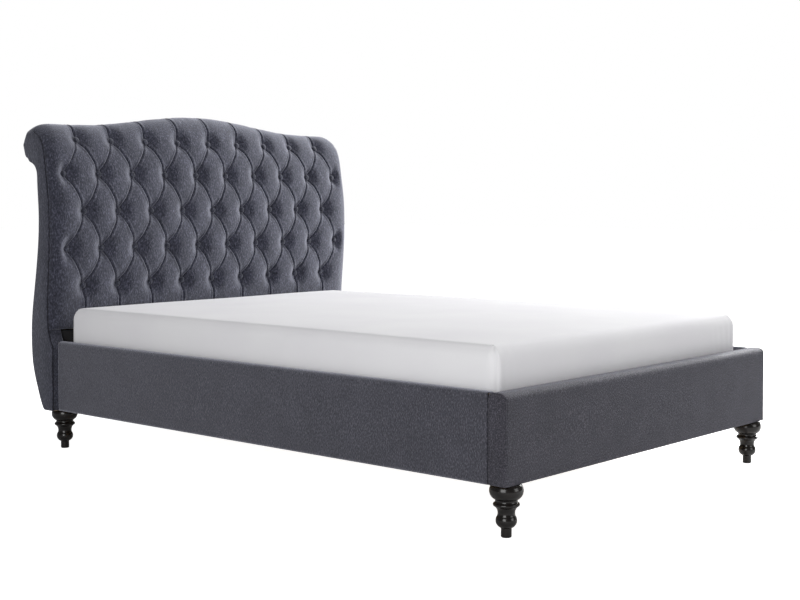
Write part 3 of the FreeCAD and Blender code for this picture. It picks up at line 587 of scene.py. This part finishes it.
def makePad():
    bm = bmesh.new()
    cells, pitch, sideStart = pad["cells"], pad["pitch"], pad["sideStart"]
    steps = cells * pad["cellSteps"]
    bmesh.ops.create_grid(bm, x_segments=steps, y_segments=steps, size=cells / 2)

    def quiltPlane(u, v, w):
        # diagonal cells, with their lines crowded towards the folds
        crowd = pad["crowding"] / (2 * math.pi)
        u, v = u + 1 - crowd * np.sin(2 * math.pi * u), v + 1 - crowd * np.sin(2 * math.pi * v)
        return (u - v) * pitch / 2, u + v, w

    moveVerts(bm, quiltPlane)
    spare = [v for v in bm.verts if abs(v.co.x) > pad["spareFrom"] or not -0.2 < v.co.y < 4.2]
    bmesh.ops.delete(bm, geom=spare, context="VERTS")
    borders = ((1, 0.0, -1), (1, 4.0, 1), (0, -sideStart, -1), (0, sideStart, 1))
    for axis, level, side in borders:
        cutAcross(bm, allOf(bm), axis, level, side, clear_outer=True)
    for axis, level, side in borders:
        for vert in bm.verts:
            if abs(vert.co[axis] - level) < 2e-5:
                vert.co[axis] = level
    extrudeRim(bm, 0.0, 1, [-(q / 22) ** 1.35 for q in range(1, 23)])
    extrudeRim(bm, 4.0, 1, [4 + (q / 52) ** 1.3 for q in range(1, 53)])
    span, sideSteps = pad["halfWidth"] - sideStart, pad["sideSteps"]
    outward = [sideStart + span * math.sin(q / sideSteps * math.pi / 2) for q in range(1, sideSteps + 1)]
    for side in (-1, 1):
        extrudeRim(bm, side * np.float32(sideStart), 0, [side * place for place in outward])
    print("quilt laid flat:", len(bm.faces), "faces")

    def flatToRun(x, t, w):
        s = runAt(x, t)
        return x, s, quiltHeight(x, t, s)

    moveVerts(bm, flatToRun)
    rim = [e for e in bm.edges if e.is_boundary]
    grown = bmesh.ops.extrude_edge_only(bm, edges=rim)["geom"]
    for vert in (g for g in grown if isinstance(g, bmesh.types.BMVert)):
        vert.co.z = pad["underside"]
    rim = [e for e in bm.edges if e.is_boundary]
    under = bmesh.ops.edgeloop_fill(bm, edges=rim)["faces"]
    for axis, length, low in ((0, 2 * pad["halfWidth"], -pad["halfWidth"]), (1, padLength, 0)):
        count = pad["underSteps"][axis]
        for i in range(1, count):
            loops = {e for f in under for e in f.edges} | {v for f in under for v in f.verts}
            cut = cutAcross(bm, list(loops) + under, axis, low + length * i / count)
            under = [g for g in cut["geom"] if isinstance(g, bmesh.types.BMFace)]
    moveVerts(bm, ontoPad)
    piece = newPiece("headboardTuftedPad", bm, padFabric)
    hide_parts("headboard_pad")
    return piece


makePad()
print("tufted pad made")


buttons = {"radius": 0.0116, "rise": 0.0064, "seat": 0.0100, "root": 0.004, "sides": 20, "domeSteps": 5}


def makeButtons():
    bm = bmesh.new()
    radius, root, domeSteps = buttons["radius"], buttons["root"], buttons["domeSteps"]
    profile = [(0.0, -root), (radius * 0.8, -root), (radius * 0.97, -root / 2)]
    for q in range(domeSteps + 1):
        swing = q / domeSteps * math.pi / 2
        profile.append((radius * math.cos(swing), buttons["rise"] * math.sin(swing)))
    for row, z in enumerate(pad["rows"]):
        offsets = np.arange(-4, 5) if row % 2 == 0 else np.arange(-4.5, 5)
        for x in offsets * pad["pitch"]:
            s = float(np.interp(x, acrossSamples, rowRuns[row]))
            _, y, height = ontoPad(x, s, buttons["seat"])
            outY, outZ = (float(value) for value in pairAt(s, ringRun, ringNormal))
            out, side = Vector((0, outY, outZ)), Vector((1, 0, 0))
            centre = Vector((x, float(y), float(height)))
            chain = [bm.verts.new(centre + side * r + out * up) for r, up in profile]
            edges = [bm.edges.new(pair) for pair in zip(chain, chain[1:])]
            bmesh.ops.spin(bm, geom=chain + edges, cent=centre, axis=out, angle=2 * math.pi,
                           steps=buttons["sides"], use_merge=True)
    bmesh.ops.remove_doubles(bm, verts=bm.verts, dist=1e-5)
    piece = newPiece("coveredButtons", bm, buttonFabricShaded)
    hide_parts("tuft_buttons")
    return piece


makeButtons()
print("buttons made")


# thin padded panels on the ends of the headboard and the footboard

sideCover = {"inner": 0.7521, "thickness": 0.0031, "step": 0.005, "softEdge": 0.0026, "blur": 0.004}
footEnd = {"inner": 0.7262, "thickness": 0.0042, "step": 0.004, "softEdge": 0.0034, "blur": 0.002}


def makeEndPanel(name, node, side, size, outline, gathered):
    line = resampled(np.concatenate([outline, outline[:1]]), size["step"], size["blur"])[:-1]
    if gathered:
        outY, outZ = line[:, 0] - headFace - scroll["depth"], line[:, 1] - scroll["height"]
        drawn = 1 - gatherDepth(line[:, 0], line[:, 1]) / np.hypot(outY, outZ)
        line = np.stack([headFace + scroll["depth"] + outY * drawn,
                         scroll["height"] + outZ * drawn], axis=1)
    bm = bmesh.new()
    rim = [bm.verts.new((side * size["inner"], y, z)) for y, z in line]
    for pair in zip(rim, rim[1:] + rim[:1]):
        bm.edges.new(pair)
    panel = bmesh.ops.edgeloop_fill(bm, edges=bm.edges[:])["faces"]
    grown = bmesh.ops.extrude_face_region(bm, geom=panel)["geom"]
    front = [g for g in grown if isinstance(g, bmesh.types.BMFace)]
    bmesh.ops.translate(bm, verts=[g for g in grown if isinstance(g, bmesh.types.BMVert)],
                        vec=(side * size["thickness"], 0, 0))
    bmesh.ops.bevel(bm, geom=list({e for f in front for e in f.edges}), offset=size["softEdge"],
                    offset_type="OFFSET", segments=4, profile=0.5, affect="EDGES", material=-1)
    piece = newPiece(name, bm, padFabric if gathered else footFabricShaded)
    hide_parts(node)
    return piece


footOutline = endOutline("footboard_end_panel_left")
for sideName, side in (("left", -1), ("right", 1)):
    makeEndPanel("sideCover_" + sideName, "headboard_side_cover_" + sideName, side, sideCover,
                 outlinePoints, True)
    makeEndPanel("footEndPanel_" + sideName, "footboard_end_panel_" + sideName, side, footEnd,
                 footOutline, False)
print("end panels made")


# fabric sleeves over the side rails and the footboard

sleeve = {"aroundSteps": 72, "alongSteps": 130, "thickness": 0.0032, "clear": 0.0002, "puff": 0.0014,
          "wave": 0.0006, "endRound": 0.005, "endSteps": 6, "endGap": 0.0004,
          "railRadii": (0.005, 0.010), "footRadii": (0.019, 0.016)}


def roundedPath(corners, radii):
    # straight runs joined by arcs, as a dense line
    points = [np.array(corners[0])]
    for before, corner, after, radius in zip(corners, corners[1:], corners[2:], radii):
        corner = np.array(corner)
        back, ahead = (np.array(p) - corner for p in (before, after))
        back, ahead = back / np.linalg.norm(back), ahead / np.linalg.norm(ahead)
        centre = corner + radius * (back + ahead)
        for i in range(13):
            swing = i / 12 * math.pi / 2
            points.append(centre - radius * (math.sin(swing) * back + math.cos(swing) * ahead))
    points.append(np.array(corners[-1]))
    return resampled(np.array(points), 0.0005, 0.001)


def makeSleeve(name, node, fabric, corners, radii, start, end, place):
    path = roundedPath(corners, radii)
    run = runOf(path)
    turn = np.gradient(path, run, axis=0)
    bm = bmesh.new()
    bmesh.ops.create_grid(bm, x_segments=sleeve["aroundSteps"], y_segments=sleeve["alongSteps"], size=0.5)
    endShare = sleeve["endSteps"] / sleeve["alongSteps"]
    length, rounding = end - start, sleeve["endRound"]

    def wrap(u, v, w):
        s = (u + 0.5) * run[-1]
        along = np.interp(v + 0.5, (0, endShare, 1 - endShare, 1),
                          (0, rounding, length - rounding, length))
        inward = np.clip(1 - np.minimum(along, length - along) / rounding, 0, 1)
        across, up = pairAt(s, run, path)
        turnAcross, turnUp = pairAt(s, run, turn)
        top = corners[1][1]
        share = np.clip((up - corners[0][1]) / (top - corners[0][1]), 0, 1)
        swell = np.sin(math.pi * share)
        uneven = smoothNoise(along * 17, up * 21, across * 30, start)
        out = sleeve["puff"] * swell ** 0.6
        out = out + sleeve["wave"] * uneven * swell
        out = out - rounding * 0.7 * (1 - np.sqrt(1 - inward ** 2))
        return place(across - out * turnUp, start + along, up + out * turnAcross)

    moveVerts(bm, wrap)
    piece = newPiece(name, bm, fabric)
    thicken(piece, sleeve["thickness"])
    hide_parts(node)
    return piece


railLow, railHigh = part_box("side_rail_cover_right")
footLow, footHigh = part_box("footboard_cover")
skin, endGap = sleeve["thickness"] / 2 + sleeve["clear"], sleeve["endGap"]
inner, outer, low, top = railLow.x + skin, railHigh.x - skin, railLow.z, railHigh.z - skin
for sideName, side in (("left", -1), ("right", 1)):
    makeSleeve("railSleeve_" + sideName, "side_rail_cover_" + sideName, railFabricLit,
               [(inner, low), (inner, top), (outer, top), (outer, low)], sleeve["railRadii"],
               railLow.y + endGap, railHigh.y - endGap, lambda a, b, c, side=side: (side * a, b, c))
front, back, top = footLow.y + skin, footHigh.y - skin, footHigh.z - skin
makeSleeve("footboardSleeve", "footboard_cover", footFabricShaded,
           [(front, low), (front, top), (back, top), (back, low)], sleeve["footRadii"],
           footLow.x, footHigh.x, lambda a, b, c: (b, a, c))
print("rail and footboard sleeves made")


# fabric stretched over the headboard's back and the fronts of its posts

skinCover = {
    "acrossSteps": 90, "narrowSteps": 12, "alongSteps": 110, "thickness": 0.0026, "inset": 0.0016,
    "backPuff": 0.0040, "postPuff": 0.0005,
}


def makeSkin(name, node, path, puff):
    low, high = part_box(node)
    run = runOf(path)
    turn = turnOf(path, run)
    width = high.x - low.x
    bm = bmesh.new()
    across = skinCover["acrossSteps"] if width > 1 else skinCover["narrowSteps"]
    bmesh.ops.create_grid(bm, x_segments=across, y_segments=skinCover["alongSteps"], size=0.5)

    def stretch(u, v, w):
        s = (v + 0.5) * run[-1]
        y, z = pairAt(s, run, path)
        turnY, turnZ = pairAt(s, run, turn)
        x = low.x + (u + 0.5) * width
        swell = np.sin(math.pi * (u + 0.5)) ** 0.5 * np.sin(math.pi * (v + 0.5)) ** 0.5
        out = puff * swell * (1 + 0.4 * smoothNoise(x * 5, z * 6, 0 * x, 7.0)) - skinCover["inset"]
        return x, y - out * turnZ, z + out * turnY + lift(x, z)

    moveVerts(bm, stretch)
    piece = newPiece(name, bm, padFabric)
    thicken(piece, skinCover["thickness"])
    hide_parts(node)
    return piece


# the back from just before the pad's end down to the bottom edge, the posts up to the pad's start
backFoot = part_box("headboard_back_cover")[0].z
backPath = ringLine[ringEnd - 4:]
backPath = np.concatenate([backPath[backPath[:, 1] > backFoot + 0.004],
                           [(outlinePoints[-1, 0], backFoot + 0.0003)]])
makeSkin("stretchedBackCover", "headboard_back_cover", backPath, skinCover["backPuff"])
postPath = ringLine[:np.argmax(ringLine[:, 1] > pad["startHeight"] + 0.001)]
for sideName in ("left", "right"):
    makeSkin("postCover_" + sideName, "headboard_post_cover_" + sideName, postPath,
             skinCover["postPuff"])
print("stretched covers made")


# near-black cords where two pieces of fabric meet: painted shade, standing in for the shadow in the seam
# grooves and in the gap at the rails' foot ends

seam = {"radius": 0.0013, "around": 8, "step": 0.006, "headLevel": 0.7519, "footLevel": 0.7290}


def makeSeamShadeCord(name, line, level):
    bm = bmesh.new()
    run = runOf(line)
    turn = turnOf(line, run)
    bmesh.ops.create_grid(bm, x_segments=seam["around"], y_segments=int(run[-1] / seam["step"]), size=0.5)

    def roll(u, v, w):
        s = (v + 0.5) * run[-1]
        y, z = pairAt(s, run, line)
        turnY, turnZ = pairAt(s, run, turn)
        swing = 2 * math.pi * u
        proud = seam["radius"] * np.sin(swing)
        return level + seam["radius"] * np.cos(swing), y - proud * turnZ, z + proud * turnY

    moveVerts(bm, roll)
    bmesh.ops.remove_doubles(bm, verts=bm.verts, dist=1e-6)
    bmesh.ops.holes_fill(bm, edges=[e for e in bm.edges if e.is_boundary], sides=seam["around"])
    return newPiece(name, bm, seamShadeCord)


drawnIn = gatherDepth(ringLine[:, 0], ringLine[:, 1])
toAxis = np.array([headFace + scroll["depth"], scroll["height"]]) - ringLine
sideLine = ringLine + toAxis * (drawnIn / np.linalg.norm(toAxis, axis=1))[:, None]
# a dark cord down the gap between each rail's foot end and the footboard's end panel: painted shade
footGapShade = np.array([(railLow.y, railLow.z + 0.002), (railLow.y, railHigh.z - 0.0014)])
for sideName, side in (("left", -1), ("right", 1)):
    makeSeamShadeCord("headboardSeamShade_" + sideName, sideLine, side * seam["headLevel"])
    makeSeamShadeCord("footGapShade_" + sideName, footGapShade, side * seam["footLevel"])
print("seams made")


# the mattress: a soft block with drawn-in corners and a crowned top

mattress = {
    "cornerRound": 0.033, "cornerSteps": 12, "edgeRound": 0.038, "edgeSteps": 7,
    "cornerCell": 0.008, "cornerZone": 0.20, "wideCell": 0.075, "cutsUp": 9,
    "crown": 0.006, "settled": 0.002, "dip": 0.0012, "wave": 0.0011, "drawIn": 0.004,
    "crease": 0.0030, "creaseWidth": 0.0045, "creaseTurn": 58,
    "pleat": 0.0009, "pleatPitch": 0.041, "pleatLean": 0.35, "pleatReach": 0.070,
}


def makeMattress():
    low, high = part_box("mattress")
    bm = bmesh.new()
    bmesh.ops.create_cube(bm, size=1)
    bmesh.ops.scale(bm, verts=bm.verts, vec=high - low)
    bmesh.ops.translate(bm, verts=bm.verts, vec=(low + high) / 2)
    upright = [e for e in bm.edges if abs(e.verts[0].co.z - e.verts[1].co.z) > 0.1]
    bmesh.ops.bevel(bm, geom=upright, offset=mattress["cornerRound"], offset_type="OFFSET",
                    segments=mattress["cornerSteps"], profile=0.5, affect="EDGES", material=-1)
    rims = [e for e in bm.edges if abs(e.verts[0].co.z - e.verts[1].co.z) < 1e-6]
    bmesh.ops.bevel(bm, geom=rims, offset=mattress["edgeRound"], offset_type="OFFSET",
                    segments=mattress["edgeSteps"], profile=0.5, affect="EDGES", material=-1)
    edge, zone = mattress["edgeRound"], mattress["cornerZone"]
    for axis in range(3):
        length = high[axis] - low[axis]
        levels = np.linspace(edge, length - edge, mattress["cutsUp"])
        if axis < 2:
            corner = np.arange(edge, zone, mattress["cornerCell"])
            middleRun = np.linspace(zone, length - zone, int(length / mattress["wideCell"]))
            levels = np.concatenate([corner, middleRun, length - corner])
        for level in levels:
            cutAcross(bm, allOf(bm), axis, low[axis] + level)
    middle, half = (low + high) / 2, (high - low) / 2

    def soften(x, y, z):
        u, v = (x - middle.x) / half.x, (y - middle.y) / half.y
        w = (z - low.z) / (high.z - low.z)
        crown = mattress["crown"] * (1 - u ** 4) * (1 - v ** 4) - mattress["settled"]
        dips = smoothNoise(x * 9, y * 8, 0 * x, 1.0) * mattress["dip"]
        newZ = z + np.where(w > 0.5, (crown + dips) * easeStep((w - 0.5) / 0.4), 0)
        belly = 1 - (2 * w - 1) ** 2
        wave = smoothNoise(x * 14, y * 14, z * 22, 3.0) * mattress["wave"] * belly
        fromCornerX, fromCornerY = (h - np.abs(q - m) for h, q, m in zip(half[:2], (x, y), middle[:2]))
        fromCorner = np.maximum(fromCornerX, fromCornerY)
        lean = fromCorner * (1 + mattress["pleatLean"] * (1 - w)) / mattress["pleatPitch"]
        lean = lean + smoothNoise(x * 6, y * 6, z * 5, 5.0)
        gathers = np.sin(2 * math.pi * lean) * np.exp(-fromCorner / mattress["pleatReach"])
        gathers = gathers * easeStep(w / 0.15)
        wave = wave + mattress["pleat"] * (gathers - 1) * easeStep(fromCorner / 0.03 - 0.6)
        pullX = mattress["drawIn"] * np.abs(v) ** 5 * (1 - belly * 0.4) - wave
        pullY = mattress["drawIn"] * np.abs(u) ** 5 * (1 - belly * 0.4) - wave
        onSide, onEnd = np.abs(u) > 0.97, np.abs(v) > 0.98
        newX = x - np.sign(u) * np.where(onSide, np.maximum(pullX, 0), 0)
        newY = y - np.sign(v) * np.where(onEnd, np.maximum(pullY, 0), 0)
        cornerX, cornerY = half.x - mattress["cornerRound"], half.y - mattress["cornerRound"]
        turnX, turnY = np.abs(x - middle.x) - cornerX, np.abs(y - middle.y) - cornerY
        around = np.degrees(np.arctan2(turnY, turnX))
        inCorner = (turnX > 0) & (turnY > 0)
        offCrease = (around - mattress["creaseTurn"]) * math.pi / 180 * mattress["cornerRound"]
        fold = gauss(offCrease / mattress["creaseWidth"])
        tuck = mattress["crease"] * fold * inCorner * easeStep(w / 0.1)
        newX = newX - np.sign(u) * tuck * np.cos(np.radians(around))
        newY = newY - np.sign(v) * tuck * np.sin(np.radians(around))
        return newX, newY, newZ

    moveVerts(bm, soften)
    piece = newPiece("sheetedMattress", bm, sheeting, "mattress")
    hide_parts("mattress")
    return piece


makeMattress()
print("mattress made")
